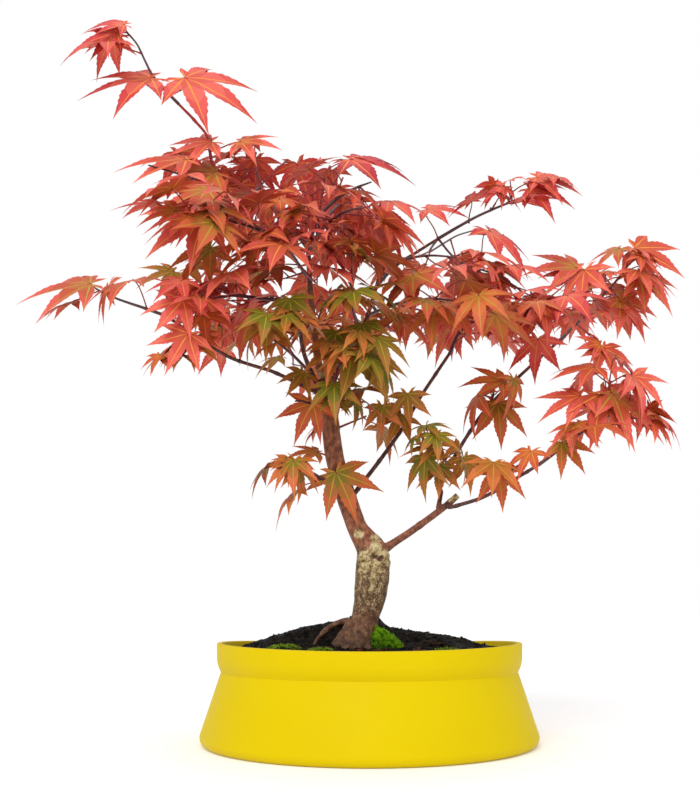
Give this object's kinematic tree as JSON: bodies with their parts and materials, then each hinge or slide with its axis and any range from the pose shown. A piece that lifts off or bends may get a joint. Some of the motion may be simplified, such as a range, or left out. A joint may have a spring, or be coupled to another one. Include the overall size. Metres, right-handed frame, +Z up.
{
  "type": "potted japanese maple bonsai",
  "caption": "Small Japanese maple bonsai with hanging red and rust autumn leaves on thin dark shoots, in mossy soil heaped in a round flared pot.",
  "frame": {"origin": "middle of the pot's flat underside", "axes": "+Z up the plant, +Y to the back, away from the side that the picture shows, +X to the right seen from the front"},
  "size_m": [0.3536, 0.2474, 0.4001],
  "materials": {
    "pot": "matte yellow plastic with a fine grain",
    "soil": "damp black crumbly soil",
    "moss": "soft green moss",
    "bark": "grey-brown bark, redder higher up, with pale scars",
    "shoot_bark": "smooth dark purple-brown young bark",
    "red_leaves": "thin red autumn leaves with a soft sheen",
    "rust_leaves": "thin rust and olive autumn leaves with a soft sheen"
  },
  "bodies": {
    "root": {"pot": "pot", "soil": "soil", "moss_clump": "moss", "moss_left": "moss", "moss_front": "moss", "moss_right": "moss", "trunk": "bark", "upper_leader": "shoot_bark", "inner_left_stem": "shoot_bark", "inner_right_stem": "shoot_bark", "left_bough": "shoot_bark", "rising_shoot": "shoot_bark", "right_bough": "shoot_bark", "low_right_shoot": "shoot_bark", "far_right_shoot": "shoot_bark", "top_shoot": "shoot_bark", "upper_right_shoot": "shoot_bark", "top_tip": "red_leaves", "upper_left_high": "red_leaves", "upper_left_front": "red_leaves", "upper_heart": "rust_leaves", "upper_crest": "red_leaves", "upper_front": "rust_leaves", "upper_middle": "rust_leaves", "right_upper_front": "red_leaves", "right_middle": "red_leaves", "right_rise": "red_leaves", "right_top_inner": "rust_leaves", "right_shoulder": "red_leaves", "centre_upper": "rust_leaves", "centre_front": "rust_leaves", "centre_left": "rust_leaves", "left_inner": "red_leaves", "left_outer": "rust_leaves", "far_left": "red_leaves", "upper_right_tip": "red_leaves", "right_top": "red_leaves", "right_low": "red_leaves", "right_low_inner": "red_leaves", "right_shoot_leaves": "rust_leaves", "low_centre": "rust_leaves", "rising_leaves": "rust_leaves", "lower_left": "rust_leaves", "trunk_side": "rust_leaves", "upper_left_back": "rust_leaves", "upper_back": "red_leaves", "right_back": "red_leaves", "back_middle": "rust_leaves", "left_back": "red_leaves", "back_right": "rust_leaves", "lower_back": "red_leaves"}
  },
  "joints": []
}
